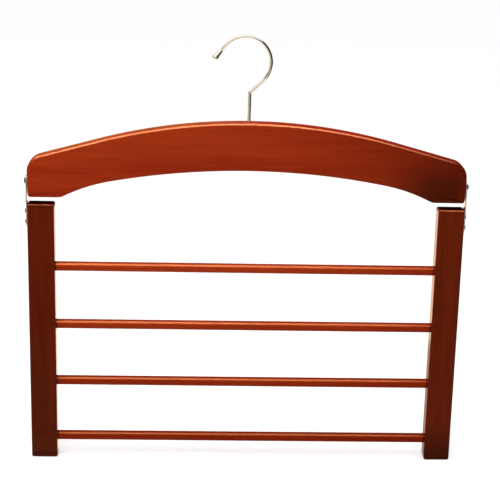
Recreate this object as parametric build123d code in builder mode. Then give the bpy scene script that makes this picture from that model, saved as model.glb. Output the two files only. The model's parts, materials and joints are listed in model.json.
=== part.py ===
"""Trouser hanger: a curved wooden arch on a wire hook, with a swinging ladder of four round bars.

Millimetres, +Z up. The origin is the point inside the hook's loop, straight over the
swivel axis, where a rail carries the hanger. X runs along the arch, Y through its thickness.
"""

from math import atan2, cos, radians, sin, sqrt
import os

from build123d import *

os.makedirs("parts", exist_ok=True)

# Arch: a curved board with a flat pad under each end; its heights count up from the pads
arch_span = 444.4
arch_thickness = 17.0
arch_height = 79.5
arch_depth = 49.3
arch_bevel = 1.8
shoulder_height = 39.7
shoulder_radius = 17.6
pad_length = 34.0
ogee_radius = 12.0
end_taper = 0.9
end_taper_height = 11.0
end_taper_radius = 20.0
pad_corner_margin = 0.7
crown_share = 0.345
underside_reach_share = 0.74
underside_drop_share = 0.433

# Hook: one round wire, bent in the plane of the arch, with a flared and rounded tip
wire_diameter = 3.4
hook_radius = 25.6
hook_run = 16.9
hook_run_angle = 42.4
hook_end_angle = 140.0
hook_kink_radius = 2.6
hook_shank = 29.5
hook_tail = 18.5
tip_length = 12.0
tip_radius = 3.1
tip_round = 2.4
tip_step = 0.25

# Swivel: the wire runs through the arch and is headed over a washer in a counterbore
swivel_gap = 0.08
head_gap = 0.1
washer_diameter = 9.0
washer_thickness = 1.0
washer_gap = 0.25
counterbore_depth = 5.5
rivet_head_radius = 3.2
rivet_head_height = 2.2

# Ladder: two flat legs and the bars between them
leg_width = 27.3
leg_thickness = 17.0
leg_bevel = 1.4
leg_gap = 6.9
bar_count = 4
bar_diameter = 10.0
bar_pitch = 62.45
first_bar_drop = 67.0
foot_length = 22.2
bar_seat_depth = 14.0
bar_end_gap = 0.4
glue_gap = 0.05

# Straps: a thin plate at each side, screwed to the leg and turning on one screw in the arch
strap_thickness = 1.2
strap_side_gap = 0.3
strap_edge_margin = 2.1
strap_end_margin = 6.0
pivot_height = 15.9
pivot_gap = 0.06
pivot_head_gap = 0.1
leg_screw_drop = 8.7
leg_screw_pitch = 11.1
leg_screw_hole_gap = 0.15

# Screws: plain shanks and flat heads
pivot_screw_radius = 2.0
pivot_screw_length = 20.0
pivot_head_radius = 3.4
pivot_head_height = 1.8
leg_screw_radius = 1.5
leg_screw_length = 16.0
leg_head_radius = 2.7
leg_head_height = 1.5
pilot_gap = 0.05

# How near a vertex must lie to a named corner to be taken for it
pick_tolerance = 0.01

# Hook, worked out from its kink, where the shank ends and the slanted run begins
wire_radius = wire_diameter / 2
run_angle = radians(hook_run_angle)
run_end_x = hook_run * cos(run_angle)
run_end_z = hook_run * sin(run_angle)
loop_x = run_end_x - hook_radius * sin(run_angle)
loop_z = run_end_z + hook_radius * cos(run_angle)
seat_over_kink = loop_z + sqrt((hook_radius - wire_radius) ** 2 - loop_x**2)
kink_z = -seat_over_kink

# Heights, counted down from the rail
crown_z = kink_z - hook_shank
pad_z = crown_z - arch_height
underside_z = crown_z - arch_depth
pivot_z = pad_z + pivot_height
leg_top_z = pad_z - leg_gap
leg_length = first_bar_drop + (bar_count - 1) * bar_pitch + foot_length
foot_z = leg_top_z - leg_length
bar_heights = [leg_top_z - first_bar_drop - n * bar_pitch for n in range(bar_count)]

# Places along the arch
arch_end_x = arch_span / 2
leg_outer_x = arch_end_x + strap_side_gap
leg_inner_x = leg_outer_x - leg_width
strap_outer_x = leg_outer_x + strap_thickness

sides = {"left": -1, "right": 1}


def facing(side, x, z):
    """Location at (x, 0, z) on one side, with its own Z pointing away from the middle."""
    return Location((side * x, 0, z), (0, side * 90, 0))


def make_arch():
    """Board with a rounded outline, bevelled rims, a counterbored hook bore and two pilot holes."""
    vertex_x = crown_share * arch_end_x
    shoulder_z = pad_z + shoulder_height
    slope = atan2(crown_z - shoulder_z, arch_end_x - vertex_x)
    crown_x = vertex_x + vertex_x * cos(slope)
    crown_end_z = crown_z - vertex_x * sin(slope)
    pad_inner_x = arch_end_x - pad_length
    under_x = underside_reach_share * pad_inner_x
    under_end_z = underside_z - underside_drop_share * (underside_z - pad_z)

    with BuildPart() as board:
        with BuildSketch(Plane.XZ) as outline:
            with BuildLine():
                crown = ThreePointArc((-crown_x, crown_end_z), (0, crown_z), (crown_x, crown_end_z))
                under = ThreePointArc((-under_x, under_end_z), (0, underside_z), (under_x, under_end_z))
                end = Polyline(
                    crown @ 1,
                    (arch_end_x, shoulder_z),
                    (arch_end_x, pad_z + end_taper_height),
                    (arch_end_x - end_taper, pad_z),
                    (pad_inner_x, pad_z),
                )
                lobe = TangentArc(under @ 1, end @ 1, tangent=under % 1)
                mirror(end, about=Plane.YZ)
                mirror(lobe, about=Plane.YZ)
            make_face()
            for corner_x, corner_z, radius in (
                (arch_end_x, shoulder_z, shoulder_radius),
                (arch_end_x, pad_z + end_taper_height, end_taper_radius),
                (arch_end_x - end_taper, pad_z, arch_bevel + pad_corner_margin),
                (pad_inner_x, pad_z, ogee_radius),
            ):
                fillet(
                    outline.vertices().filter_by(
                        lambda v: abs(abs(v.X) - corner_x) < pick_tolerance
                        and abs(v.Y - corner_z) < pick_tolerance
                    ),
                    radius=radius,
                )
        extrude(amount=arch_thickness / 2, both=True)
        rims = board.edges().group_by(Axis.Y)
        chamfer(rims[0] + rims[-1], length=arch_bevel)
        with Locations(Location((0, 0, underside_z), (180, 0, 0))):
            CounterBoreHole(
                radius=wire_radius + swivel_gap,
                counter_bore_radius=washer_diameter / 2 + washer_gap,
                counter_bore_depth=counterbore_depth,
            )
        with Locations(facing(-1, arch_end_x, pivot_z), facing(1, arch_end_x, pivot_z)):
            Hole(radius=pivot_screw_radius + pilot_gap, depth=pivot_screw_length)
    return board.part


def make_hook():
    """Wire from its head under the arch up the shank, round the loop and down to the tip."""
    head_top_z = underside_z + counterbore_depth - washer_thickness - head_gap
    wrap = hook_end_angle - (hook_run_angle - 90)

    with BuildPart() as wire:
        with BuildLine(Plane.XZ) as path:
            stem = FilletPolyline(
                (0, head_top_z),
                (0, kink_z),
                (run_end_x, kink_z + run_end_z),
                radius=hook_kink_radius,
            )
            loop = JernArc(start=stem @ 1, tangent=stem % 1, radius=hook_radius, arc_size=wrap)
            tail = Line(loop @ 1, loop @ 1 + (loop % 1) * (hook_tail - tip_length / 2))
        with BuildSketch(Plane(origin=path.line @ 0, z_dir=path.line % 0)):
            Circle(wire_radius)
        sweep()
        tip_plane = Plane(
            origin=loop @ 1 + (loop % 1) * (hook_tail - tip_length),
            x_dir=loop % 1,
            z_dir=Plane.XZ.z_dir,
        )
        with BuildSketch(tip_plane) as flare:
            with BuildLine():
                Polyline(
                    (0, 0),
                    (0, wire_radius + tip_step),
                    (tip_length, tip_radius),
                    (tip_length, 0),
                    close=True,
                )
            make_face()
            fillet(flare.vertices().sort_by(Axis.Y)[-1], radius=tip_round)
        revolve(axis=Axis(tip_plane.origin, tip_plane.x_dir))
        with BuildSketch(Plane.XY.offset(head_top_z)):
            Circle(rivet_head_radius)
        extrude(amount=-rivet_head_height)
    return wire.part


def make_washer():
    """Flat ring that the headed wire pulls up against the counterbore's floor."""
    with BuildPart() as ring:
        with BuildSketch(Plane.XY.offset(underside_z + counterbore_depth - washer_thickness)):
            Circle(washer_diameter / 2)
            Circle(wire_radius + swivel_gap, mode=Mode.SUBTRACT)
        extrude(amount=washer_thickness)
    return ring.part


def make_leg(side):
    """Upright board with bevelled edges, blind seats for the bars and two pilot holes."""
    with BuildPart() as board:
        with BuildSketch(Plane.XY.offset(foot_z)):
            with Locations((side * (leg_inner_x + leg_width / 2), 0)):
                Rectangle(leg_width, leg_thickness)
        extrude(amount=leg_length)
        chamfer(board.edges(), length=leg_bevel)
        with Locations(*[facing(-side, -leg_inner_x, z) for z in bar_heights]):
            Hole(radius=bar_diameter / 2 + glue_gap, depth=bar_seat_depth)
        with Locations(*[facing(side, leg_outer_x, z) for z in leg_screw_heights]):
            Hole(radius=leg_screw_radius + pilot_gap, depth=leg_screw_length)
    return board.part


def make_bar(z):
    """Dowel that reaches into its seats in both legs."""
    reach = leg_inner_x + bar_seat_depth - bar_end_gap
    with BuildPart() as dowel:
        with BuildSketch(Plane.YZ.offset(-reach)):
            with Locations((0, z)):
                Circle(bar_diameter / 2)
        extrude(amount=2 * reach)
    return dowel.part


def make_strap(side):
    """Plate with round ends: a turning hole at the top and two screw holes on the leg."""
    low_z = leg_screw_heights[-1]
    width = leg_thickness - 2 * (leg_bevel + strap_edge_margin)
    with BuildPart() as plate:
        with BuildSketch(Plane.YZ.offset(side * leg_outer_x)):
            with Locations((0, (pivot_z + low_z) / 2)):
                SlotOverall(pivot_z - low_z + 2 * strap_end_margin, width, rotation=90)
            with Locations((0, pivot_z)):
                Circle(pivot_screw_radius + pivot_gap, mode=Mode.SUBTRACT)
            with Locations(*[(0, z) for z in leg_screw_heights]):
                Circle(leg_screw_radius + leg_screw_hole_gap, mode=Mode.SUBTRACT)
        extrude(amount=side * strap_thickness)
    return plate.part


def make_screw(radius, length, head_radius, head_height):
    """Screw along +Z with the underside of its head at the origin."""
    with BuildPart() as screw:
        Cylinder(radius, length, align=(Align.CENTER, Align.CENTER, Align.MAX))
        Cylinder(head_radius, head_height, align=(Align.CENTER, Align.CENTER, Align.MIN))
    return screw.part


leg_screw_heights = [leg_top_z - leg_screw_drop - n * leg_screw_pitch for n in range(2)]

parts = {"arch": make_arch(), "hook": make_hook(), "hook_washer": make_washer()}
for number, height in enumerate(bar_heights, start=1):
    parts[f"bar_{number}"] = make_bar(height)
for name, side in sides.items():
    parts[f"{name}_leg"] = make_leg(side)
    parts[f"{name}_strap"] = make_strap(side)

    with BuildPart() as pivot_screw:
        with Locations(facing(side, strap_outer_x + pivot_head_gap, pivot_z)):
            add(make_screw(pivot_screw_radius, pivot_screw_length, pivot_head_radius, pivot_head_height))
    parts[f"{name}_pivot_screw"] = pivot_screw.part

    with BuildPart() as leg_screws:
        with Locations(*[facing(side, strap_outer_x, z) for z in leg_screw_heights]):
            add(make_screw(leg_screw_radius, leg_screw_length, leg_head_radius, leg_head_height))
    parts[f"{name}_leg_screws"] = leg_screws.part

for name, piece in parts.items():
    piece.label = name
    export_step(piece, f"parts/{name}.step")
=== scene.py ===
"""Visible surfaces, finishes, light and camera of the trouser hanger.

Metres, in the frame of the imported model: +Z up, X along the arch, Y through its thickness,
and the origin inside the hook's loop, where a rail carries the hanger.
"""

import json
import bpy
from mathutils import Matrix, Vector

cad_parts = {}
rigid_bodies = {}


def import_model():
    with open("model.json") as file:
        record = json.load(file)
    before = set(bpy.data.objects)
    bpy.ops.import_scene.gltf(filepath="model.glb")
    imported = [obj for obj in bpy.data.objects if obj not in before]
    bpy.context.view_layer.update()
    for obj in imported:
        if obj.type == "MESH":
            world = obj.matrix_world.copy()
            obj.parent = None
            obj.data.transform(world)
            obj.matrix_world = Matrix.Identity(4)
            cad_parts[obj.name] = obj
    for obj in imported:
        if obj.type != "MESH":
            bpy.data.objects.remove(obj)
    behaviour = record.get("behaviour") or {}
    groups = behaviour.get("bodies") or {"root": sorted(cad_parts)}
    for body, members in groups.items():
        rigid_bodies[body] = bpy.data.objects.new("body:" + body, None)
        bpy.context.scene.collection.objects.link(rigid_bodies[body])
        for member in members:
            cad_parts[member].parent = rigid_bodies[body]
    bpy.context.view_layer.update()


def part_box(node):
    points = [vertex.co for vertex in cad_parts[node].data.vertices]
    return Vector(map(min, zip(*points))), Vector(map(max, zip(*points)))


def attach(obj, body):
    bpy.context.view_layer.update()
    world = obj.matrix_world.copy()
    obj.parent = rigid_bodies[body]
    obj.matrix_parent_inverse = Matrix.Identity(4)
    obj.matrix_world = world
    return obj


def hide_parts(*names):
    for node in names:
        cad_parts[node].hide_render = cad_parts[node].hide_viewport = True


bl_info = {
    "name": "Trouser Hanger",
    "version": (1, 0, 0),
    "blender": (4, 5, 0),
    "location": "View3D > Sidebar > Hanger",
    "description": "Lacquered trouser hanger with a swinging ladder of four bars, in a white studio",
    "category": "Add Mesh",
}

from math import atan2, cos, hypot, pi, radians, sin, sqrt, tan

import bmesh
import bpy
import numpy as np
from bpy.props import FloatProperty, FloatVectorProperty, IntProperty, PointerProperty
from bpy.types import Operator, Panel, PropertyGroup
from mathutils import Matrix, Vector

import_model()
arch_low, arch_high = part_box("arch")
hook_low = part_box("hook")[0]
sides = {"left": -1, "right": 1}


# Sizes, colours and light that a user may change


def number(name, default, description, **limits):
    """A number of any kind."""
    return FloatProperty(name=name, description=description, default=default, **limits)


def size(name, default, description):
    """A length in metres."""
    return number(name, default, description, min=0.0, unit="LENGTH", precision=5)


def coordinate(name, default, description):
    """A place along an axis, in metres."""
    return number(name, default, description, unit="LENGTH")


def share(name, default, description):
    """A number between 0 and 1."""
    return number(name, default, description, min=0.0, max=1.0, subtype="FACTOR")


def turn(name, default, description):
    """An angle, given in degrees and kept in radians."""
    return number(name, radians(default), description, unit="ROTATION")


def strength(name, default, description):
    """The strength of a light."""
    return number(name, default, description, min=0.0)


def light_of(level):
    """Light for a level from 0 to 255 on the screen, by the screen's standard curve."""
    if level <= 10:
        return level / 255 / 12.92
    return ((level / 255 + 0.055) / 1.055) ** 2.4


def colour(name, red, green, blue, description):
    """A colour, given as the screen shows it and kept as light."""
    light = [light_of(level) for level in (red, green, blue)]
    return FloatVectorProperty(
        name=name, description=description, default=light, min=0.0, max=1.0, subtype="COLOR"
    )


class ArchSizes(PropertyGroup):
    """Sizes of the arch that its box in the frame doesn't give."""

    depth: size("Depth", 0.0493, "Height of the board at its middle")
    roll: size("Edge roll", 0.0030, "Radius of the rounded front and back edges")
    shoulder_height: size("Shoulder height", 0.0397, "Height of the shoulder's corner over the pads")
    shoulder_radius: size("Shoulder radius", 0.0176, "Rounding of the shoulder")
    pad_length: size("Pad length", 0.034, "Flat length under each end")
    ogee_radius: size("Ogee radius", 0.012, "Rounding between a pad and the underside")
    end_taper: size("End taper", 0.0009, "How far each end draws in at its foot")
    end_taper_height: size("End taper height", 0.011, "Height over the pads where the taper starts")
    end_taper_radius: size("End taper radius", 0.020, "Rounding where the taper starts")
    pad_corner_radius: size("Pad corner radius", 0.0025, "Rounding of each pad's outer corner")
    crown_share: share("Crown share", 0.345, "Share of the half span where the crown's tangents cross")
    reach_share: share("Underside reach", 0.74, "Share of the way to the pad that the middle arc takes")
    drop_share: share("Underside drop", 0.433, "Share of the drop to the pad that the middle arc takes")
    bore_radius: size("Hook bore radius", 0.00178, "Bore that the hook's wire turns in")
    counterbore_radius: size("Counterbore radius", 0.00475, "Recess under the arch for the washer")
    counterbore_depth: size("Counterbore depth", 0.0055, "Depth of that recess")


class HookSizes(PropertyGroup):
    """Sizes of the bent wire and its washer."""

    wire_radius: size("Wire radius", 0.00169, "Half the thickness of the wire")
    loop_radius: size("Loop radius", 0.0256, "Radius of the loop at the middle of the wire")
    run: size("Run", 0.0169, "Slanted run between the shank and the loop")
    run_angle: turn("Run angle", 42.4, "Slope of that run over the level")
    end_angle: turn("End angle", 140.0, "Where the loop ends, round its centre from the right")
    kink_radius: size("Kink radius", 0.0026, "Bend between the shank and the run")
    shank: size("Shank", 0.0295, "Height of the kink over the arch")
    tail: size("Tail", 0.0185, "Straight end after the loop")
    tip_length: size("Tip length", 0.012, "Length of the flared tip")
    tip_radius: size("Tip radius", 0.0031, "Radius of the tip at its widest")
    tip_round: size("Tip rounding", 0.0024, "Rounding of the tip's end")
    neck_length: size("Neck length", 0.0012, "Length over which the tip starts to flare")
    neck_step: size("Neck step", 0.0003, "Rise of the tip over the wire at its neck")
    head_radius: size("Head radius", 0.0032, "Radius of the wire's head under the arch")
    head_height: size("Head height", 0.0022, "Height of that head")
    dome_share: share("Head dome", 0.35, "Share of the head's height that is rounded")
    washer_radius: size("Washer radius", 0.0045, "Outer radius of the washer over the head")
    washer_edge: size("Washer edge", 0.00015, "Bevel of the washer's outer edges")


class LadderSizes(PropertyGroup):
    """Sizes of the legs, bars and straps that their boxes in the frame don't give."""

    leg_roll: size("Leg edge roll", 0.0017, "Radius of the legs' rounded edges")
    leg_corner: size("Leg corner radius", 0.0022, "Rounding of the legs' corners seen from the front")
    bar_bevel: size("Bar end rounding", 0.0006, "Rounding of the bars' hidden ends")
    strap_roll: size("Strap edge roll", 0.0002, "Radius of the straps' rounded edges")
    end_wood: size("End grain depth", 0.0003, "Depth of the darker end grain on the legs")
    bar_count: IntProperty(name="Bars", description="Bars in the frame", default=4, min=1)


class ScrewSizes(PropertyGroup):
    """Shape of the screws, whose heads and lengths come from the frame."""

    pivot_shank: size("Pivot shank radius", 0.002, "Shank of the screws that the straps turn on")
    leg_shank: size("Leg shank radius", 0.0015, "Shank of the screws in the legs")
    pivot_gap: size("Pivot head gap", 0.0001, "Gap under the heads of the screws that the straps turn on")
    cross_width: share("Cross width", 0.13, "Half the width of the cross recess, of the head's radius")
    cross_reach: share("Cross reach", 0.56, "Reach of the cross recess, of the head's radius")
    cross_wall: share("Cross wall", 0.035, "Width of the recess's slanted wall, of the head's radius")
    cross_depth: share("Cross depth", 0.6, "Depth of the cross recess, of the head's height")
    cross_rise: share("Cross rise", 0.75, "How far the recess has risen again at its reach")
    point: share("Point", 0.35, "Length of the point, of the shank's length")
    next_turn: turn("Next turn", 50.0, "Turn of a cross from that of the screw above it")


class Finishes(PropertyGroup):
    """Colours of the finishes."""

    arch_pale: colour("Arch, pale grain", 167, 52, 19, "Pale grain of the arch")
    arch_deep: colour("Arch, deep grain", 141, 34, 11, "Deep grain of the arch")
    # Painted shade: the arch darkens towards its right end, where less light falls. The same tone darkens
    # its pores.
    arch_shade_and_pore_tone: colour("Arch, dark stain", 88, 17, 5, "Darker stain towards the arch's right end")
    # Painted shade, darkest low at the arch's right end.
    arch_end_shade: colour("Arch, end", 46, 8, 4, "Darkest stain, low at the arch's right end")
    leg_pale: colour("Leg, pale grain", 106, 30, 8, "Pale grain of the legs")
    leg_deep: colour("Leg, deep grain", 82, 18, 5, "Deep grain of the legs")
    # Painted shade low on the legs and at the feet; the same tone streaks the end grain.
    leg_low_shade_and_end_grain: colour("Leg, foot", 48, 5, 3, "Darker stain and end grain of the feet")
    # End grain of the legs, darkest at the backs of the tops as painted shade under the arch; also painted
    # shade at the bars' joints.
    leg_end_grain_and_shade: colour("Leg, end grain", 16, 2, 1, "End grain at the legs' tops, and the bars' glue lines")
    bar_pale: colour("Bar, pale grain", 174, 58, 22, "Pale grain of the bars")
    bar_deep: colour("Bar, deep grain", 146, 40, 13, "Deep grain of the bars")
    # Painted shade on the lower bars and towards the right ends.
    bar_shade: colour("Bar, dark stain", 104, 18, 3, "Darker stain of the lower bars and the right ends")
    sheen: colour("Sheen", 255, 172, 104, "Tint of the lacquer's gloss seen straight on")
    plating: colour("Plating", 232, 228, 220, "Bright plating of the hook")
    zinc: colour("Zinc", 190, 186, 176, "Dull plating of the straps and the washer")
    steel: colour("Screw steel", 96, 88, 78, "Plated steel of the screws")
    floor: colour("Floor", 244, 244, 244, "Pale floor")


class Studio(PropertyGroup):
    """Place of the camera and strength of the light."""

    camera_x: coordinate("Camera X", -0.04905, "Place of the camera along the arch")
    camera_y: coordinate("Camera Y", -1.4032, "Place of the camera through the arch's thickness")
    camera_z: coordinate("Camera Z", 0.18907, "Height of the camera over the rail's place")
    yaw: turn("Camera yaw", 2.172, "Turn of the camera to the right")
    pitch: turn("Camera pitch", 16.123, "Tilt of the camera downwards")
    roll: turn("Camera roll", -1.381, "Turn of the camera about its own axis")
    lens: number("Lens", 102.34, "Focal length in millimetres", min=1.0)
    world: strength("World", 0.62, "Strength of the light from all round")
    key: strength("Key lamp", 3.4, "Radiance of the key lamp")
    overhead: strength("Overhead lamp", 1.6, "Radiance of the overhead lamp")
    gloss: strength("Gloss lamps", 76.0, "Radiance of the brightest strip over the arch")


class HangerSettings(PropertyGroup):
    """All settings of the hanger."""

    arch: PointerProperty(type=ArchSizes)
    hook: PointerProperty(type=HookSizes)
    ladder: PointerProperty(type=LadderSizes)
    screws: PointerProperty(type=ScrewSizes)
    finishes: PointerProperty(type=Finishes)
    studio: PointerProperty(type=Studio)


# Lines in a plane

# A straight keeps a point this far from each end, where that is under this share of its length.
hold, hold_share = 0.0003, 0.3

# The shortest straight that is left between two corners.
least_straight = 1e-6


class Steps:
    """How many even steps the meshes take along each stretch, and round each section."""

    arch_middle, arch_lobe, arch_ogee = 56, 24, 8
    pad_corner, end_taper, shoulder, crown = 10, 4, 18, 64
    leg_corner, strap_end, edge_roll = 8, 16, 8
    arch_across, plate_across = 8, 2
    head_dome, shank, kink, run, loop = 8, 23, 8, 4, 120
    tail, neck, flare, tip_round = 3, 6, 8, 12
    bar_end, bar_length, screw_head = 6, 8, 12
    wire_section, turned_section = 40, 64


def wrapped(angle):
    """The same angle between minus half a turn and half a turn."""
    return (angle + pi) % (2 * pi) - pi


def even(steps):
    """Shares of a stretch at the end of each of its even steps."""
    return np.arange(1, steps + 1) / steps


def rounded(radius, steps):
    """A quarter round of angles a: radius * sin a along it, and radius * (1 - cos a) taken off."""
    a = np.linspace(0, pi / 2, steps + 1)
    return radius * np.sin(a), radius * (1 - np.cos(a))


class Course:
    """A line in a plane, laid end to end from straights and arcs. It keeps points and headings.

    An arc of a length and a turn reaches, at a share of itself, along a chord that points half way
    between its headings there, and that is length * sin(h) / h long, h being half of what it has
    turned by then.
    """

    def __init__(self, start, heading):
        self.points = [np.array([start], float)]
        self.headings = [np.array([heading], float)]

    def end(self):
        """The last point, and the heading there."""
        return self.points[-1][-1], self.headings[-1][-1]

    def arc(self, length, turned, shares):
        """An arc, or a straight where nothing is turned, with a point at each share of it."""
        start, heading = self.end()
        half = shares * turned / 2
        chord = length * shares * np.sinc(half / pi)
        direction = np.stack([np.cos(heading + half), np.sin(heading + half)], -1)
        self.points.append(start + chord[:, None] * direction)
        self.headings.append(heading + 2 * half)

    def arc_towards(self, target):
        """Length and turn of the one arc that leaves along the course and ends at a point."""
        start, heading = self.end()
        reach = np.subtract(target, start)
        turned = 2 * wrapped(atan2(reach[1], reach[0]) - heading)
        return hypot(*reach) / np.sinc(turned / 2 / pi), turned

    def arc_to(self, target, steps):
        """That arc, laid."""
        self.arc(*self.arc_towards(target), even(steps))

    def circle_to(self, target):
        """Centre and signed radius of that arc: positive where it turns to the left."""
        start, heading = self.end()
        length, turned = self.arc_towards(target)
        radius = length / turned
        return start + radius * np.array([-sin(heading), cos(heading)]), radius

    def straight(self, length):
        """A straight with a holding point near both of its ends, which keeps its shading even."""
        near = hold / length
        self.arc(length, 0.0, np.array([near, 1 - near, 1] if near < hold_share else [1]))

    def corner(self, at, beyond, radius, steps):
        """A straight towards a corner and an arc round it towards the point beyond."""
        start, heading = self.end()
        onward = np.subtract(beyond, at)
        turned = wrapped(atan2(onward[1], onward[0]) - heading)
        self.straight(hypot(*np.subtract(at, start)) - radius * tan(abs(turned) / 2))
        self.arc(radius * abs(turned), turned, even(steps))

    def line(self):
        """All points, and the heading at each."""
        return np.concatenate(self.points), np.concatenate(self.headings)


def arch_outline(sizes):
    """Outline of the arch in the XZ plane, counterclockwise from the middle of its underside.

    The right half is two arcs of the underside, the ogee that rolls onto the pad, the pad, the
    tapered end, the shoulder, the slope and the crown's arc. The left half mirrors it.
    """
    end_x, crown_z, pad_z = arch_high.x, arch_high.z, arch_low.z
    under_z = crown_z - sizes.depth
    pad_inner = (end_x - sizes.pad_length, pad_z)
    taper = (end_x, pad_z + sizes.end_taper_height)
    shoulder = (end_x, pad_z + sizes.shoulder_height)
    vertex_x = sizes.crown_share * end_x
    slope = atan2(crown_z - shoulder[1], end_x - vertex_x)
    crown_end = (vertex_x + vertex_x * cos(slope), crown_z - vertex_x * sin(slope))
    middle_end = (sizes.reach_share * pad_inner[0], under_z - sizes.drop_share * (under_z - pad_z))

    course = Course((0, under_z), 0.0)
    course.arc_to(middle_end, Steps.arch_middle)
    lobe_centre, lobe_radius = course.circle_to(pad_inner)
    ogee_z = pad_z + sizes.ogee_radius
    apart = sizes.ogee_radius - lobe_radius
    ogee_x = lobe_centre[0] + sqrt(apart**2 - (ogee_z - lobe_centre[1]) ** 2)
    ogee_centre = np.array([ogee_x, ogee_z])
    course.arc_to(lobe_centre - (ogee_centre - lobe_centre) * lobe_radius / apart, Steps.arch_lobe)
    course.arc_to((ogee_x, pad_z), Steps.arch_ogee)
    course.corner((end_x - sizes.end_taper, pad_z), taper, sizes.pad_corner_radius, Steps.pad_corner)
    course.corner(taper, shoulder, sizes.end_taper_radius, Steps.end_taper)
    course.corner(shoulder, crown_end, sizes.shoulder_radius, Steps.shoulder)
    course.straight(hypot(*np.subtract(crown_end, course.end()[0])))
    course.arc_to((0, crown_z), Steps.crown)
    points, headings = course.line()
    left = slice(-2, 0, -1)
    return np.concatenate([points, points[left] * (-1, 1)]), np.concatenate([headings, -headings[left]])


def upright_outline(low, high, radius, steps):
    """Outline of an upright plate with rounded corners, counterclockwise from the middle of its foot."""
    (x0, z0), (x1, z1) = low, high
    middle = ((x0 + x1) / 2, z0)
    corners = [(x1, z0), (x1, z1), (x0, z1), (x0, z0), middle]
    course = Course(middle, 0.0)
    for at, beyond in zip(corners, corners[1:]):
        course.corner(at, beyond, radius, steps)
    return course.line()


def wire_path(sizes):
    """Middle line of the wire in the XZ plane, the heading at each point, and the wire's radius there.

    It runs up through the head and the shank, round the kink, along the slanted run, round the loop
    and down the tail to the tip. The head starts as a quarter round. Over a share t of the neck the
    tip gains neck_step * (1 - cos(pi * t)) / 2, then it flares evenly, and it ends in a quarter round.
    """
    across, up = rounded(1.0, Steps.head_dome)
    head = np.append(sizes.dome_share * up[1:], [1, 1])
    head_radii = np.append(sizes.head_radius * across, [sizes.head_radius, sizes.wire_radius])

    neck, flare = even(Steps.neck), even(Steps.flare)
    neck_radius = sizes.wire_radius + sizes.neck_step
    flare_end = sizes.tip_length - sizes.tip_round
    end_along, end_taken = rounded(sizes.tip_round, Steps.tip_round)
    flare_length = flare_end - sizes.neck_length
    neck_radii = sizes.wire_radius + sizes.neck_step * (1 - np.cos(pi * neck)) / 2
    flare_radii = neck_radius + (sizes.tip_radius - neck_radius) * flare
    stretches = (
        (sizes.neck_length * neck, neck_radii),
        (sizes.neck_length + flare_length * flare, flare_radii),
        (flare_end + end_along[1:], sizes.tip_radius - end_taken[1:]),
        ([sizes.tip_length], [0]),
    )
    tip, tip_radii = (np.concatenate(part) for part in zip(*stretches))

    bend = pi / 2 - sizes.run_angle
    cut = sizes.kink_radius * tan(bend / 2)
    shank = arch_high.z + sizes.shank - cut - hook_low.z - sizes.head_height
    wrap = sizes.end_angle - (sizes.run_angle - pi / 2)
    course = Course((0, hook_low.z), pi / 2)
    course.arc(sizes.head_height, 0.0, head)
    course.arc(shank, 0.0, even(Steps.shank))
    course.arc(sizes.kink_radius * bend, -bend, even(Steps.kink))
    course.arc(sizes.run - cut, 0.0, even(Steps.run))
    course.arc(sizes.loop_radius * wrap, wrap, even(Steps.loop))
    course.arc(sizes.tail - sizes.tip_length, 0.0, even(Steps.tail))
    course.arc(sizes.tip_length, 0.0, tip / sizes.tip_length)
    line, headings = course.line()
    plain = np.full(len(line) - len(head_radii) - len(tip_radii), sizes.wire_radius)
    return line, headings, np.concatenate([head_radii, plain, tip_radii])


# Surfaces as grids of points

axis_x, axis_z = (1, 0, 0), (0, 0, 1)
origin = (0, 0, 0)

# Points closer than the first are one point, and an edge shorter than the second is none.
one_point, no_edge = 1e-7, 1e-8
wood_crease = 50.0


def grid_faces(rows, columns, rows_close=False, columns_close=False):
    """Quads between neighbouring points of a grid that is numbered row by row."""
    row = np.arange(rows if rows_close else rows - 1)[:, None]
    column = np.arange(columns if columns_close else columns - 1)[None, :]
    row_after, column_after = (row + 1) % rows, (column + 1) % columns
    corners = (
        row * columns + column,
        row_after * columns + column,
        row_after * columns + column_after,
        row * columns + column_after,
    )
    return np.stack(np.broadcast_arrays(*corners), -1).reshape(-1, 4).tolist()


def rolled_board(line, thickness, roll, across_steps):
    """A board that stands in the XZ plane, and whose outline carries a rounded edge.

    Each outline point P with its normal n becomes a row P - inset * n at the profile's depths. The
    profile turns a quarter round, inset = roll * (1 - sin a), depth = roll * (1 - cos a), in from
    each face, with a holding point before it and after it.
    """
    points, headings = line
    normal = np.stack([np.sin(headings), -np.cos(headings)], -1)
    outward, inward = rounded(roll, Steps.edge_roll)
    half = thickness / 2
    inset = np.concatenate([[roll + hold], roll - outward, [0]])
    depth = np.concatenate([[-half], inward - half, [roll + hold - half]])
    middle = np.linspace(depth[-1], -depth[-1], across_steps + 1)[1:-1]
    inset = np.concatenate([inset, 0 * middle, inset[::-1]])
    depth = np.concatenate([depth, middle, -depth[::-1]])
    plane = points[:, None, :] - inset[None, :, None] * normal[:, None, :]
    rows, columns = plane.shape[:2]
    first = np.arange(rows) * columns
    faces = grid_faces(rows, columns, rows_close=True)
    faces += [first[::-1].tolist(), (first + columns - 1).tolist()]
    return np.stack([plane[..., 0], np.tile(depth, (rows, 1)), plane[..., 1]], -1), faces


def tube(centres, across, up, radii, segments, closed=False):
    """A round section carried along a path: centre + radius * (cos a * across + sin a * up)."""
    a = 2 * pi * np.arange(segments) / segments
    ring = np.cos(a)[None, :, None] * across[:, None, :] + np.sin(a)[None, :, None] * up[:, None, :]
    points = centres[:, None, :] + radii[:, None, None] * ring
    return points.reshape(-1, 3), grid_faces(len(centres), segments, closed, columns_close=True)


def turned(along, radii, axis, place, closed=False):
    """A profile turned about an axis through a place: radii at distances along it."""
    axis = np.asarray(axis, float)
    across = np.roll(axis, 1)
    centres = np.asarray(place, float) + np.outer(along, axis)
    section = [np.broadcast_to(arm, centres.shape) for arm in (across, np.cross(axis, across))]
    return tube(centres, *section, np.asarray(radii, float), Steps.turned_section, closed)


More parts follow.
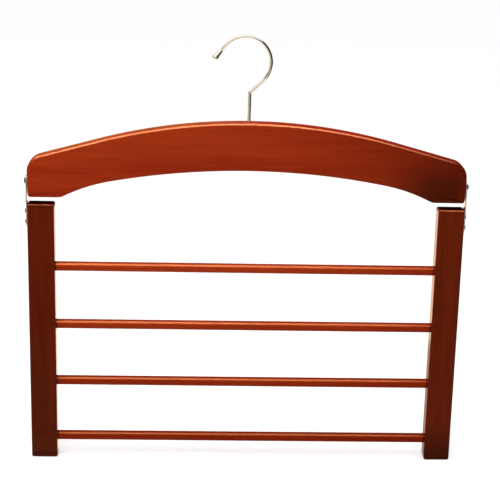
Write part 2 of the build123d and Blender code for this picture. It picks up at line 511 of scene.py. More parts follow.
def screw_surface(sizes, head_radius, head_height, shank_radius, shank_length):
    """A pan-head screw with a cross recess, along +X from the underside of its head.

    The head is a square grid drawn in to a disc, y = u * sqrt(1 - v^2 / 2) and z = v * sqrt(1 - u^2 / 2).
    It stands head_height * sqrt(1 - s^4) high at a share s of its radius, and the cross sinks into
    it, deepest at the middle. Rings of the disc's rim then run in under the head and down the shank.
    """
    decimals, margin = 4, 1e-6
    width, reach, wall = sizes.cross_width, sizes.cross_reach, sizes.cross_wall
    half = np.append(rounded(1.0, Steps.screw_head)[0], [width, width + wall, reach, reach + wall])
    half = np.unique(np.round(half, decimals))
    steps = np.concatenate([-half[:0:-1], half])
    v, u = np.meshgrid(steps, steps)
    y, z = u * np.sqrt(1 - v**2 / 2), v * np.sqrt(1 - u**2 / 2)
    s = np.minimum(np.hypot(y, z), 1.0)
    nearer, farther = np.minimum(abs(u), abs(v)), np.maximum(abs(u), abs(v))
    in_cross = (nearer <= width + margin) & (farther <= reach + margin)
    sink = sizes.cross_depth * head_height * (1 - sizes.cross_rise * s / reach) * in_cross
    x = head_height * np.sqrt(1 - s**4) - sink
    head = np.stack([x, head_radius * y, head_radius * z], -1).reshape(-1, 3)
    side = len(steps)

    index = np.arange(side * side).reshape(side, side)
    rim = np.concatenate([index[0, :-1], index[:-1, -1], index[-1, :0:-1], index[:0:-1, 0]])
    around = head[rim][:, 1:] / head_radius
    point = sizes.point * shank_length
    rings = [(0.0, shank_radius), (point - shank_length, shank_radius), (-shank_length, 0.0)]
    body = [np.column_stack([np.full(len(rim), at), around * radius]) for at, radius in rings]
    points = np.concatenate([head] + body)
    order = np.concatenate([rim, np.arange(len(head), len(points))])
    links = np.array(grid_faces(len(rings) + 1, len(rim), columns_close=True))
    return points, grid_faces(side, side) + order[links].tolist()


def new_object(name, data):
    """An object of its data, put into the scene."""
    made = bpy.data.objects.new(name, data)
    bpy.context.scene.collection.objects.link(made)
    return made


def closed_mesh(name, points, faces):
    """A closed mesh with its doubles merged, its faces outwards and no face of over four corners."""
    mesh = bpy.data.meshes.new(name)
    mesh.from_pydata(np.reshape(points, (-1, 3)).tolist(), [], faces)
    shape = bmesh.new()
    shape.from_mesh(mesh)
    bmesh.ops.remove_doubles(shape, verts=shape.verts, dist=one_point)
    bmesh.ops.dissolve_degenerate(shape, edges=shape.edges, dist=no_edge)
    bmesh.ops.recalc_face_normals(shape, faces=shape.faces)
    bmesh.ops.triangulate(shape, faces=[face for face in shape.faces if len(face.verts) > 4])
    shape.to_mesh(mesh)
    shape.free()
    return mesh


def shade(mesh, crease):
    """Smooth shading, but sharp where two faces meet at more than the crease, in degrees."""
    mesh.shade_smooth()
    mesh.set_sharp_from_angle(angle=radians(crease))


def add_piece(name, points, faces, finish, body, stands_for, crease=wood_crease):
    """Makes a closed piece of the points and faces, and lets it ride on its body for its CAD node."""
    mesh = closed_mesh(name, points, faces)
    shade(mesh, crease)
    piece = new_object(name, mesh)
    mesh.materials.append(finish)
    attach(piece, body)
    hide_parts(stands_for)
    return piece


def carve(piece, points, faces):
    """Cuts a closed shape out of a wooden piece."""
    cutter = new_object("cutter", closed_mesh("cutter", points, faces))
    cut = piece.modifiers.new("carve", "BOOLEAN")
    cut.operation = "DIFFERENCE"
    cut.solver = "EXACT"
    cut.object = cutter
    graph = bpy.context.evaluated_depsgraph_get()
    carved = bpy.data.meshes.new_from_object(piece.evaluated_get(graph))
    piece.modifiers.clear()
    piece.data = carved
    shade(carved, wood_crease)
    bpy.data.objects.remove(cutter)


# Materials as expressions


def called(sockets, identifier):
    """The one of a node's sockets that has an identifier."""
    return next(socket for socket in sockets if socket.identifier == identifier)


class Flow:
    """An output of a node. Arithmetic on it adds the nodes that work the result out."""

    def __init__(self, paint, socket):
        self.paint = paint
        self.socket = socket

    def __add__(self, other):
        return self.paint.maths("ADD", self, other)

    def __sub__(self, other):
        return self.paint.maths("SUBTRACT", self, other)

    def __rsub__(self, other):
        return self.paint.maths("SUBTRACT", other, self)

    def __mul__(self, other):
        return self.paint.maths("MULTIPLY", self, other)

    def __pow__(self, other):
        return self.paint.maths("POWER", self, other)

    __radd__ = __add__
    __rmul__ = __mul__

    def beside(self, identifier):
        """Another output of the same node."""
        return Flow(self.paint, called(self.socket.node.outputs, identifier))


def is_vector(value):
    """Whether a value, or an output of a node, is a vector."""
    return isinstance(value, tuple) or (isinstance(value, Flow) and value.socket.type == "VECTOR")


class Paint:
    """The nodes of a material or a world, which are being written."""

    def __init__(self, owner):
        self.owner = owner
        owner.use_nodes = True
        owner.node_tree.nodes.clear()

    def node(self, kind, settings=None, sockets=None):
        """Adds a node, sets it, and feeds its sockets, which are named by their identifiers.

        A colour gets its fourth channel here. The node's first output, if it has any, comes back.
        """
        tree = self.owner.node_tree
        made = tree.nodes.new(kind)
        for name, value in (settings or {}).items():
            setattr(made, name, value)
        for name, value in (sockets or {}).items():
            socket = called(made.inputs, name)
            if isinstance(value, Flow):
                tree.links.new(value.socket, socket)
            else:
                socket.default_value = (*value, 1.0) if socket.type == "RGBA" else value
        return Flow(self, made.outputs[0]) if made.outputs else None

    def maths(self, operation, first, second):
        """Math on numbers, or Vector Math where either side is a vector."""
        kind, names = "ShaderNodeMath", ("Value", "Value_001")
        if is_vector(first) or is_vector(second):
            kind, names = "ShaderNodeVectorMath", ("Vector", "Vector_001")
        return self.node(kind, {"operation": operation}, dict(zip(names, (first, second))))

    def highest(self, first, *others):
        """The highest of some numbers."""
        for other in others:
            first = self.maths("MAXIMUM", first, other)
        return first

    def mix(self, share_of_second, first, second):
        """Goes from the first colour to the second with the share."""
        sockets = {"Factor_Float": share_of_second, "A_Color": first, "B_Color": second}
        return self.node("ShaderNodeMix", {"data_type": "RGBA"}, sockets).beside("Result_Color")

    def cover(self, share_of_second, first, second):
        """Goes from the first surface to the second with the share."""
        sockets = {"Fac": share_of_second, "Shader": first, "Shader_001": second}
        return self.node("ShaderNodeMixShader", None, sockets)

    def ramp(self, value, low, high, smooth=True):
        """0 where the value is at low, 1 where it is at high, and between them in between."""
        settings = {"interpolation_type": "SMOOTHSTEP" if smooth else "LINEAR"}
        sockets = {"Value": value, "From Min": low, "From Max": high}
        return self.node("ShaderNodeMapRange", settings, sockets)

    def noise(self, place, scale, detail, roughness=0.55, distortion=0.0):
        """Noise about 0.5 at a place."""
        sockets = {"Vector": place, "Scale": scale, "Detail": detail}
        sockets |= {"Roughness": roughness, "Distortion": distortion}
        return self.node("ShaderNodeTexNoise", None, sockets)

    def bump(self, height, distance):
        """A normal that follows a height between 0 and 1, in metres times the distance."""
        return self.node("ShaderNodeBump", None, {"Height": height, "Distance": distance, "Strength": 1.0})

    def place(self):
        """Place on the piece, and its three parts."""
        place = self.node("ShaderNodeTexCoord").beside("Object")
        x = self.node("ShaderNodeSeparateXYZ", None, {"Vector": place})
        return place, x, x.beside("Y"), x.beside("Z")

    def principled(self, **sockets):
        """A Principled surface."""
        named = {name.replace("_", " "): value for name, value in sockets.items()}
        return self.node("ShaderNodeBsdfPrincipled", None, named)

    def finish(self, surface, kind="Material"):
        """Ends the nodes in a surface, and gives the material or world that they belong to."""
        self.node(f"ShaderNodeOutput{kind}", None, {"Surface": surface})
        return self.owner


def new_paint(name):
    """The paint of a new material."""
    return Paint(bpy.data.materials.new(name))


def shifted(span, by):
    """Both ends of a span, moved by a distance."""
    return [end + by for end in span]


class Grain:
    """Straight grain: its squeeze along the wood, its scales per metre, and the noise that counts."""

    squeeze = 0.045
    figure_scale, streak_scale, pore_scale = 75.0, 420.0, 1500.0
    figure_span, streak_span, pore_span = (0.3, 0.7), (0.25, 0.75), (0.60, 0.74)


class Lacquer:
    """Orange peel, filled pores and dull wood: scale per metre, relief in metres, and roughness."""

    peel_scale, relief = 260.0, 0.00002
    peel_height, pore_depth = 0.55, 0.35
    peel_roughness, pore_roughness = 0.08, 0.05
    matt_roughness = 0.8


class ArchGrainAndShade:
    """The arch's grain, pores and painted shade: spans in metres, from start to full, and shares."""

    figure = 0.55
    # Painted shade, darker towards the right end, where less light falls.
    along, wander, curve = (0.012, 0.236), 0.02, 1.7
    # Painted shade, darkest low at the right end.
    end_inner, end_outer, end_height = (0.13, 0.195), (0.2222, 0.2085), (-0.112, -0.150)
    end, pores = 0.7, 0.25
    roughness, gloss = 0.2, 0.14


class LegGrainAndShade:
    """The legs' grain and painted shade: spans in metres, from start to full, and shares.

    Heights are counted up from the feet, or from the tops for the shaded top edge, and depths from the
    front.
    """

    figure = 0.5
    leftwards = (0.1, -0.1)
    # Painted shade, darker lower down the left leg.
    low_height, low = (0.23, 0.045), 0.42
    # Painted shade near the feet, less on the left leg.
    foot_height, foot, foot_less_on_left = (0.05, 0.0), 0.95, 0.25
    # Painted shade: the tops' back parts, under the arch, are darkest, with streaks of end grain.
    core_depth, core_streaks, core_foot = (0.003, 0.009), 0.2, 0.6
    # Painted shade: the left leg's top edge goes matt, since the arch shades it from the light.
    worn_height, worn_leftwards, worn = (-0.004, -0.003), (0.05, -0.05), 0.5
    roughness, gloss = 0.16, 0.14


class BarGrainAndShade:
    """The bars' grain and painted shade: spans in metres, from start to full, and shares.

    The span of the painted shade at the joints is counted outwards from the legs' inner faces.
    """

    figure = 0.5
    # Painted shade, darker downwards, with a least share on every bar, and towards the right ends.
    low, least = 0.68, 0.12
    right_span, right = (0.06, 0.22), 0.45
    # Painted shade at the joints with the legs.
    glue_span, glue = (-0.0016, -0.0004), 0.85
    low_dull, least_dull = 0.5, 0.15
    right_dull_span, right_dull = (-0.03, 0.06), 0.17
    roughness, gloss = 0.2, 0.09


class Wood(Paint):
    """The paint of a lacquered wood: its grain, then the stains and painted shade over it, then the
    lacquer.

    Broad figure, fine streaks and pores are each between 0 and 1. The place is squeezed along the
    grain, so that round noise is drawn out to long streaks.
    """

    def __init__(self, name, along, stain, deep, pale):
        super().__init__(bpy.data.materials.new(name))
        self.stain = stain
        self.spot, self.x, self.y, self.z = self.place()
        drawn = self.spot * tuple(Grain.squeeze if n == along else 1.0 for n in range(3))
        figure = self.noise(drawn, Grain.figure_scale, detail=3.0, distortion=0.6)
        streaks = self.noise(drawn, Grain.streak_scale, detail=4.0, roughness=0.6)
        self.figure = self.ramp(figure, *Grain.figure_span)
        self.streaks = self.ramp(streaks, *Grain.streak_span)
        self.pores = self.ramp(self.noise(drawn, Grain.pore_scale, detail=2.0), *Grain.pore_span)
        self.tone = self.mix(self.figure * stain.figure + self.streaks * (1 - stain.figure), deep, pale)

    def darken(self, share_of_stain, tone):
        """Goes over to a darker tone, of a stain or of painted shade, with the share."""
        self.tone = self.mix(share_of_stain, self.tone, tone)

    def lacquer(self, sheen):
        """Clear gloss over the stained wood, with faintly filled pores and a hint of orange peel."""
        peel = self.noise(self.spot, Lacquer.peel_scale, detail=2.0)
        relief = peel * Lacquer.peel_height - self.pores * Lacquer.pore_depth
        rough = self.stain.roughness + peel * Lacquer.peel_roughness + self.pores * Lacquer.pore_roughness
        return self.principled(
            Base_Color=self.tone,
            Roughness=rough,
            Normal=self.bump(relief, Lacquer.relief),
            Specular_IOR_Level=self.stain.gloss,
            Specular_Tint=sheen,
        )

    def matt(self, tone):
        """Wood without gloss."""
        return self.principled(Base_Color=tone, Roughness=Lacquer.matt_roughness, Specular_IOR_Level=0.0)


def arch_finish(finishes):
    """Cherry lacquer along the arch, with painted shade towards its right end, darkest low there, and
    darker pores.
    """
    stain = ArchGrainAndShade
    wood = Wood("arch_lacquer", 0, stain, finishes.arch_deep, finishes.arch_pale)
    # Painted shade: darker towards the right end, its edge wandering with the figure.
    darker = wood.ramp(wood.x + wood.figure * stain.wander, *stain.along, smooth=False)
    wood.darken(darker**stain.curve, finishes.arch_shade_and_pore_tone)
    # Painted shade, darkest low at the right end.
    at_end = wood.ramp(wood.x, *stain.end_inner) * wood.ramp(wood.x, *stain.end_outer)
    wood.darken(at_end * wood.ramp(wood.z, *stain.end_height) * stain.end, finishes.arch_end_shade)
    wood.darken(wood.pores * stain.pores, finishes.arch_shade_and_pore_tone)
    return wood.finish(wood.lacquer(finishes.sheen))


def leg_finish(finishes, end_wood):
    """Dark mahogany lacquer along the leg, with painted shade at the feet and lower down the left leg.

    The end grain is dull and darker, darkest at the backs of the tops as painted shade under the arch, and
    the left leg's top edge goes matt as painted shade.
    """
    stain = LegGrainAndShade
    wood = Wood("leg_lacquer", 2, stain, finishes.leg_deep, finishes.leg_pale)
    low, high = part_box("left_leg")
    left = wood.ramp(wood.x, *stain.leftwards)
    # Painted shade lower down the left leg.
    lower = wood.ramp(wood.z, *shifted(stain.low_height, low.z), smooth=False)
    wood.darken(lower * left * stain.low, finishes.leg_low_shade_and_end_grain)
    # Painted shade near the feet.
    near_foot = wood.ramp(wood.z, *shifted(stain.foot_height, low.z))
    wood.darken(near_foot * (stain.foot - left * stain.foot_less_on_left), finishes.leg_low_shade_and_end_grain)

    top = wood.ramp(wood.z, high.z - end_wood, high.z - end_wood / 3)
    foot = wood.ramp(wood.z, low.z + end_wood, low.z + end_wood / 3)
    rim_tone = wood.mix(foot, finishes.leg_deep, finishes.leg_low_shade_and_end_grain)
    # Painted shade: the end grain goes darkest towards the back of the tops, under the arch.
    core_share = wood.streaks * stain.core_streaks + foot * stain.core_foot
    core_tone = wood.mix(core_share, finishes.leg_end_grain_and_shade, finishes.leg_low_shade_and_end_grain)
    core = wood.ramp(wood.y, *shifted(stain.core_depth, low.y))
    end_grain = wood.matt(wood.mix(core, rim_tone, core_tone))
    # Painted shade: the left leg's top edge loses its gloss, since the arch shades it.
    near_top = wood.ramp(wood.z, *shifted(stain.worn_height, high.z))
    worn = near_top * wood.ramp(wood.x, *stain.worn_leftwards) * stain.worn
    matt_share = wood.highest(top + foot, worn)
    return wood.finish(wood.cover(matt_share, wood.lacquer(finishes.sheen), end_grain))


def bar_finish(finishes, inner_x):
    """Cherry lacquer along the bar, with painted shade at the joints with the legs.

    It has painted shade downwards and at its right end, and is duller downwards and from the middle
    rightwards.
    """
    stain = BarGrainAndShade
    wood = Wood("bar_lacquer", 0, stain, finishes.bar_deep, finishes.bar_pale)
    down = wood.ramp(wood.z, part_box("bar_1")[1].z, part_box("bar_4")[0].z, smooth=False)
    # Painted shade, darker downwards and towards the right end.
    wood.darken(wood.highest(down * stain.low, stain.least), finishes.bar_shade)
    wood.darken(wood.ramp(wood.x, *stain.right_span, smooth=False) * stain.right, finishes.bar_shade)
    # Painted shade at the joints, where the bars go into the legs.
    outwards = wood.node("ShaderNodeMath", {"operation": "ABSOLUTE"}, {"Value": wood.x})
    joint = wood.ramp(outwards, *shifted(stain.glue_span, inner_x))
    wood.darken(joint * stain.glue, finishes.leg_end_grain_and_shade)
    right_dull = wood.ramp(wood.x, *stain.right_dull_span) * (1 - down) * stain.right_dull
    dull = wood.highest(down * stain.low_dull, stain.least_dull) + right_dull
    return wood.finish(wood.cover(dull, wood.lacquer(finishes.sheen), wood.matt(wood.tone)))


# Each plating's roughness, mottles per metre, what they do to the roughness, and its wear.
platings = {
    "chrome": (0.12, 900.0, 0.05, 0.12),
    "washer_zinc": (0.34, 700.0, 0.12, 0.3),
    "strap_zinc": (0.26, 500.0, 0.12, 0.25),
    "screw_steel": (0.3, 800.0, 0.12, 0.3),
}


def metal_finish(name, tone):
    """Plated metal: mottled roughness, a faint change to a worn tone and a grain 9 times as fine."""
    roughness, scale, mottle, wear = platings[name]
    worn_span, worn_share, finer, relief = (0.35, 0.7), 0.7, 9, 0.000004
    paint = new_paint(name)
    place = paint.place()[0]
    clouds = paint.noise(place, scale, detail=4.0)
    fine = paint.noise(place, finer * scale, detail=2.0)
    worn_tone = [worn_share * part for part in tone]
    plated = paint.principled(
        Base_Color=paint.mix(paint.ramp(clouds, *worn_span) * wear, tone, worn_tone),
        Metallic=1.0,
        Roughness=roughness + (clouds - 0.5) * mottle,
        Normal=paint.bump(fine, relief),
    )
    return paint.finish(plated)


# Operators for the pieces


class Maker:
    """What the hanger's operators share."""

    bl_options = {"REGISTER", "UNDO"}


class HANGER_OT_arch(Maker, Operator):
    """Make the arch, with its counterbore for the hook"""

    bl_idname = "hanger.arch"
    bl_label = "Arch"

    def execute(self, context):
        settings = context.scene.hanger
        sizes = settings.arch
        thickness = arch_high.y - arch_low.y
        points, faces = rolled_board(arch_outline(sizes), thickness, sizes.roll, Steps.arch_across)
        finish = arch_finish(settings.finishes)
        piece = add_piece("arch_board", points, faces, finish, "arch", "arch")

        # The cutter for the bore and its counterbore stands out at both ends.
        beyond = 0.01
        start = arch_high.z - sizes.depth - beyond
        floor = arch_high.z - sizes.depth + sizes.counterbore_depth
        end = arch_high.z + beyond
        wide, narrow = sizes.counterbore_radius, sizes.bore_radius
        along, radii = [start, start, floor, floor, end, end], [0, wide, wide, narrow, narrow, 0]
        carve(piece, *turned(along, radii, axis_z, origin))
        return {"FINISHED"}


class HANGER_OT_hook(Maker, Operator):
    """Make the bent wire with its flared tip and headed end, and the washer over the head"""

    bl_idname = "hanger.hook"
    bl_label = "Hook"

    def execute(self, context):
        settings = context.scene.hanger
        sizes, finishes = settings.hook, settings.finishes
        line, headings, radii = wire_path(sizes)
        still = 0 * headings
        centres = np.stack([line[:, 0], still, line[:, 1]], -1)
        across = np.stack([np.sin(headings), still, -np.cos(headings)], -1)
        up = np.stack([still, still + 1, still], -1)
        points, faces = tube(centres, across, up, radii, Steps.wire_section)
        chrome = metal_finish("chrome", finishes.plating)
        add_piece("hook_wire", points, faces, chrome, "hook", "hook", crease=60.0)

        low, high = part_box("hook_washer")
        edge, inner, outer = sizes.washer_edge, settings.arch.bore_radius, sizes.washer_radius
        along = [low.z, low.z, low.z + edge, high.z - edge, high.z, high.z]
        radii = [inner, outer - edge, outer, outer, outer - edge, inner]
        points, faces = turned(along, radii, axis_z, origin, closed=True)
        zinc = metal_finish("washer_zinc", finishes.zinc)
        add_piece("washer_ring", points, faces, zinc, "arch", "hook_washer", crease=40.0)
        return {"FINISHED"}


class HANGER_OT_legs(Maker, Operator):
    """Make both legs of the ladder"""

    bl_idname = "hanger.legs"
    bl_label = "Legs"

    def execute(self, context):
        settings = context.scene.hanger
        sizes = settings.ladder
        finish = leg_finish(settings.finishes, sizes.end_wood)
        for name in sides:
            node = f"{name}_leg"
            low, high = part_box(node)
            line = upright_outline((low.x, low.z), (high.x, high.z), sizes.leg_corner, Steps.leg_corner)
            points, faces = rolled_board(line, high.y - low.y, sizes.leg_roll, Steps.plate_across)
            add_piece(f"{node}_board", points, faces, finish, "ladder", node)
        return {"FINISHED"}


class HANGER_OT_bars(Maker, Operator):
    """Make the round bars between the legs"""

    bl_idname = "hanger.bars"
    bl_label = "Bars"

    def execute(self, context):
        settings = context.scene.hanger
        sizes = settings.ladder
        finish = bar_finish(settings.finishes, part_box("right_leg")[0].x)
        # A bar is straight between two ends, each flat and then a quarter round.
        along_end, taken = rounded(sizes.bar_bevel, Steps.bar_end)
        end = np.append(0, sizes.bar_bevel - along_end[::-1])
        for number in range(1, sizes.bar_count + 1):
            node = f"bar_{number}"
            low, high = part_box(node)
            length, radius = high.x - low.x, (high.z - low.z) / 2
            end_radii = np.append(0, radius - taken[::-1])
            middle = np.linspace(0, length, Steps.bar_length + 1)[1:-1]
            along = np.concatenate([end, middle, length - end[::-1]])
            radii = np.concatenate([end_radii, np.full(len(middle), radius), end_radii[::-1]])
            points, faces = turned(along, radii, axis_x, (low.x, 0, (low.z + high.z) / 2))
            add_piece(f"{node}_dowel", points, faces, finish, "ladder", node)
        return {"FINISHED"}


class HANGER_OT_straps(Maker, Operator):
    """Make the metal strap at each side"""

    bl_idname = "hanger.straps"
    bl_label = "Straps"

    def execute(self, context):
        settings = context.scene.hanger
        finish = metal_finish("strap_zinc", settings.finishes.zinc)
        roll = settings.ladder.strap_roll
        for name in sides:
            node = f"{name}_strap"
            low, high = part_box(node)
            radius = (high.y - low.y) / 2 - least_straight
            line = upright_outline((low.y, low.z), (high.y, high.z), radius, Steps.strap_end)
            points, faces = rolled_board(line, high.x - low.x, roll, Steps.plate_across)
            turned_out = points[..., [1, 0, 2]] + ((low.x + high.x) / 2, 0, 0)
            add_piece(f"{node}_plate", turned_out, faces, finish, "ladder", node)
        return {"FINISHED"}


def reach_outward(node, side):
    """How near to the hanger's middle and how far out a node reaches, on its own side."""
    return sorted(side * corner.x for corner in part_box(node))


class HANGER_OT_screws(Maker, Operator):
    """Make the pivot screws and the leg screws"""

    bl_idname = "hanger.screws"
    bl_label = "Screws"

    def execute(self, context):
        settings = context.scene.hanger
        sizes = settings.screws
        finish = metal_finish("screw_steel", settings.finishes.steel)
        for node, body, shank, gap, first_turn in (
            ("left_pivot_screw", "arch", sizes.pivot_shank, sizes.pivot_gap, 55),
            ("left_leg_screws", "ladder", sizes.leg_shank, 0, 25),
            ("right_pivot_screw", "arch", sizes.pivot_shank, sizes.pivot_gap, 70),
            ("right_leg_screws", "ladder", sizes.leg_shank, 0, 40),
        ):
            points, faces = self.screws(node, sizes, shank, gap, radians(first_turn))
            add_piece(f"{node}_set", points, faces, finish, body, node, crease=35.0)
        return {"FINISHED"}

    def screws(self, node, sizes, shank, gap, angle):
        """Points and faces of a node's screws: one, or two where it is taller than a head.

        Their heads lie over the strap, with the gap, and reach the node's top and its foot.
        """
        name = node.split("_")[0]
        side = sides[name]
        low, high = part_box(node)
        tip, top = reach_outward(node, side)
        seat = reach_outward(f"{name}_strap", side)[1] + gap
        head_radius = (high.y - low.y) / 2
        count = 1 if high.z - low.z < 3 * head_radius else 2
        points, faces = screw_surface(sizes, head_radius, top - seat, shank, seat - tip)
        x, y, z = points.T
        all_points, all_faces = [], []
        for number, height in enumerate(np.linspace(high.z - head_radius, low.z + head_radius, count)):
            c, s = cos(angle + number * sizes.next_turn), sin(angle + number * sizes.next_turn)
            all_points.append(np.stack([side * (x + seat), y * c - z * s, y * s + z * c + height], -1))
            all_faces += [[v + len(x) * number for v in face] for face in faces]
        return np.concatenate(all_points), all_faces


# The studio

# The point that the soft lamps face, and the kinds of ray that may see a thing.
lamp_target = (0.0, 0.0, -0.2)
ray_kinds = ("camera", "diffuse", "glossy", "transmission", "volume_scatter", "shadow")

# Parts of the names of the pieces that the gloss lamps spare, because their gloss is soft.
spared_parts = ("hook_wire", "screw", "strap")

# Each gloss lamp's name, place along the arch, width and share of the strength.
gloss_lamps = (
    ("gloss_left", -0.42, 1.5, 1.0),
    ("gloss_right", 0.50, 0.34, 0.66),
    ("gloss_end", 0.77, 0.2, 0.11),
)

# What the cards glow with where two of them are alike.
warm_left, warm_right, near_black = (1.0, 0.36, 0.07), (0.62, 0.03, 0.012), (0.01, 0.008, 0.006)

# Ways in which cards face.
up, forwards, leftwards, rightwards = (0, 0, 1), (0, -1, 0), (-1, 0, 0), (1, 0, 0)

# Each card's name, place, the way it faces, width, height and glow.
cards = (
    ("pale_top", (-0.1, -0.72, 1.35), (0, 0.72, -1.35), 3.2, 1.7, (1.6, 1.58, 1.52)),
    ("warm_back_left", (-1.1, 1.7, 0.85), forwards, 2.2, 1.5, warm_left),
    ("warm_back_right", (1.1, 1.7, 0.85), forwards, 2.2, 1.5, warm_right),
    ("warm_low_left", (-1.115, 1.7, -0.17), forwards, 2.17, 0.54, warm_left),
    ("warm_low_right", (1.16, 1.7, -0.17), forwards, 2.08, 0.54, warm_right),
    ("warm_floor_far", (0.07, 0.75, -0.44), up, 0.28, 0.8, (2.5, 1.75, 1.2)),
    ("warm_floor_near", (0.11, 0.17, -0.44), up, 0.2, 0.36, (1.2, 0.75, 0.5)),
    ("pale_floor", (-0.17, 0.55, -0.44), up, 0.2, 1.2, (2.4, 2.0, 1.7)),
    ("dark_right", (1.3, 0.35, 0.45), leftwards, 2.1, 1.75, near_black),
    ("dark_front", (0.825, -1.15, 0.36), (-0.825, 1.15, 0), 1.45, 1.57, near_black),
    ("dark_floor", (0.95, -0.4, -0.44), up, 1.0, 1.4, (0.02, 0.015, 0.01)),
    ("dark_left", (-1.2, -0.15, 0.53), rightwards, 1.7, 0.5, (0.03, 0.02, 0.012)),
    ("beige_front", (-0.833, -1.708, 0.14), (0.833, 1.708, 0), 2.1, 1.16, (0.60, 0.55, 0.43)),
    ("beige_left", (-1.4, -0.6, 0.0), rightwards, 1.4, 0.88, (0.50, 0.46, 0.36)),
    ("beige_floor", (-0.45, -1.05, -0.44), up, 1.5, 1.4, (0.60, 0.56, 0.46)),
)


def set_visibility(thing, seen_by):
    """Lets only the named kinds of ray see a thing."""
    for kind in ray_kinds:
        setattr(thing, f"visible_{kind}", kind in seen_by)


def lamp(name, place, target, width, height, radiance, seen_by, spared=()):
    """A rectangular lamp that faces a point and spares some pieces.

    Its power is radiance times pi times its area.
    """
    light = bpy.data.lights.new(name, "AREA")
    light.shape = "RECTANGLE"
    light.size, light.size_y = width, height
    light.energy = radiance * pi * width * height
    holder = new_object(name, light)
    holder.location = place
    holder.rotation_euler = (Vector(target) - Vector(place)).to_track_quat("-Z", "Y").to_euler()
    set_visibility(holder, seen_by)
    if spared:
        group = bpy.data.collections.new(name + "_spares")
        for piece in spared:
            group.objects.link(piece)
        for row in group.collection_objects:
            row.light_linking.link_state = "EXCLUDE"
        holder.light_linking.receiver_collection = group


def rectangle(width, height):
    """The corners of a level rectangle about the origin."""
    signs = ((-1, -1), (1, -1), (1, 1), (-1, 1))
    return [Vector((x * width / 2, y * height / 2, 0)) for x, y in signs]


def stage_panel(name, corners, material):
    """A flat panel with a material, put into the scene."""
    mesh = bpy.data.meshes.new(name)
    mesh.from_pydata(corners, [], [range(len(corners))])
    mesh.materials.append(material)
    panel = new_object(name, mesh)
    return panel


def card(name, place, facing, width, height, tone):
    """A studio card that only gloss sees."""
    paint = new_paint(name)
    glow = paint.finish(paint.node("ShaderNodeEmission", None, {"Color": tone, "Strength": 1.0}))
    tilt = Vector(facing).to_track_quat("Z", "Y").to_matrix()
    corners = [tilt @ corner + Vector(place) for corner in rectangle(width, height)]
    set_visibility(stage_panel(name, corners, glow), {"glossy"})


def seen_directly(paint):
    """1 for camera, glossy and transmission rays, which see the white background."""
    path = paint.node("ShaderNodeLightPath")
    kinds = ("Camera", "Glossy", "Transmission")
    return paint.highest(*(path.beside(f"Is {kind} Ray") for kind in kinds))


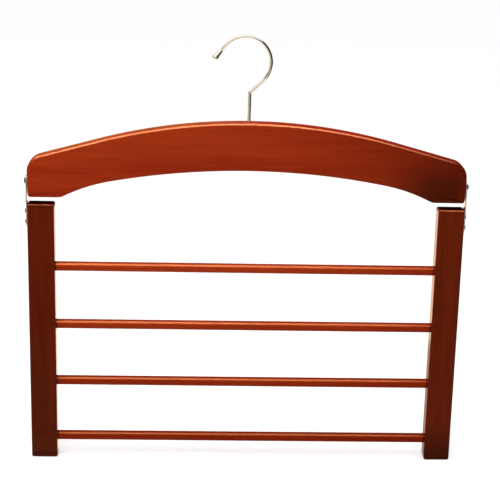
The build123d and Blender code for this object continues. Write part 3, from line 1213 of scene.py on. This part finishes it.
class HANGER_OT_studio(Maker, Operator):
    """Set the pale floor, the light and the camera"""

    bl_idname = "hanger.studio"
    bl_label = "Studio"

    def execute(self, context):
        settings = context.scene.hanger
        context.scene.view_settings.view_transform = "Standard"
        self.floor(settings.finishes.floor)
        self.world(context, settings.studio)
        self.lamps(context, settings.studio)
        for row in cards:
            card(*row)
        self.camera(context, settings.studio)
        return {"FINISHED"}

    def floor(self, tone):
        """A pale floor under the feet. It is clear from below, so that views from there see the hanger."""
        gap, span, glow = 0.0002, 60.0, 0.42
        paint = new_paint("pale_floor")
        lit = paint.node("ShaderNodeBsdfDiffuse", None, {"Color": tone})
        glowing = paint.node("ShaderNodeEmission", None, {"Strength": seen_directly(paint) * glow})
        top = paint.node("ShaderNodeAddShader", None, {"Shader": lit, "Shader_001": glowing})
        below = paint.node("ShaderNodeNewGeometry").beside("Backfacing")
        material = paint.finish(paint.cover(below, top, paint.node("ShaderNodeBsdfTransparent")))
        level = Vector((0, 0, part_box("left_leg")[0].z - gap))
        stage_panel("floor", [corner + level for corner in rectangle(span, span)], material)

    def world(self, context, studio):
        """White all round, and dimmer for the light that it throws."""
        paint = Paint(bpy.data.worlds.new("studio_world"))
        brightness = seen_directly(paint) * (1 - studio.world) + studio.world
        sky = paint.node("ShaderNodeBackground", None, {"Color": (1, 1, 1), "Strength": brightness})
        context.scene.world = paint.finish(sky, "World")

    def lamps(self, context, studio):
        """A key lamp from the upper left, a lamp overhead, and strips over the arch for its gloss."""
        soft = {"target": lamp_target, "seen_by": {"diffuse"}}
        lamp("key", (-0.7, -1.1, 1.1), width=0.9, height=0.7, radiance=studio.key, **soft)
        lamp("overhead", (-0.2, -0.3, 0.9), width=1.2, height=0.6, radiance=studio.overhead, **soft)
        metal = [piece for piece in context.scene.objects if any(p in piece.name for p in spared_parts)]
        front, top, low, height = -0.42, 0.88, -0.1, 1.1
        for name, x, width, part in gloss_lamps:
            place, target = (x, front, top), (x, 0.0, low)
            lamp(name, place, target, width, height, studio.gloss * part, {"glossy"}, metal)

    def camera(self, context, studio):
        """The camera looks along its yaw and pitch, and is then rolled about that line."""
        yaw, pitch, roll = studio.yaw, studio.pitch, studio.roll
        forward = Vector((sin(yaw) * cos(pitch), cos(yaw) * cos(pitch), -sin(pitch)))
        right = Vector((cos(yaw), -sin(yaw), 0.0))
        down = forward.cross(right)
        across = cos(roll) * right + sin(roll) * down
        below = cos(roll) * down - sin(roll) * right
        lens = bpy.data.cameras.new("camera")
        lens.lens = studio.lens
        lens.sensor_width, lens.sensor_fit = 36.0, "HORIZONTAL"
        lens.clip_start, lens.clip_end = 0.05, 100.0
        camera = new_object("camera", lens)
        place = Vector((studio.camera_x, studio.camera_y, studio.camera_z))
        columns = Matrix((across, -below, -forward)).transposed().to_4x4()
        camera.matrix_world = Matrix.Translation(place) @ columns
        context.scene.camera = camera


makers = (
    HANGER_OT_arch,
    HANGER_OT_hook,
    HANGER_OT_legs,
    HANGER_OT_bars,
    HANGER_OT_straps,
    HANGER_OT_screws,
    HANGER_OT_studio,
)


class HANGER_PT_sidebar(Panel):
    """The hanger's operators, in the order in which they run"""

    bl_idname = "HANGER_PT_sidebar"
    bl_label = "Trouser Hanger"
    bl_space_type = "VIEW_3D"
    bl_region_type = "UI"
    bl_category = "Hanger"

    def draw(self, context):
        for maker in makers:
            self.layout.operator(maker.bl_idname)


groups = (ArchSizes, HookSizes, LadderSizes, ScrewSizes, Finishes, Studio, HangerSettings)
classes = groups + makers + (HANGER_PT_sidebar,)


def register():
    for entry in classes:
        bpy.utils.register_class(entry)
    bpy.types.Scene.hanger = PointerProperty(type=HangerSettings)


def unregister():
    del bpy.types.Scene.hanger
    for entry in reversed(classes):
        bpy.utils.unregister_class(entry)


def main():
    """Makes every piece and the studio."""
    register()
    for maker in makers:
        group, name = maker.bl_idname.split(".")
        getattr(getattr(bpy.ops, group), name)()


if __name__ == "__main__":
    main()
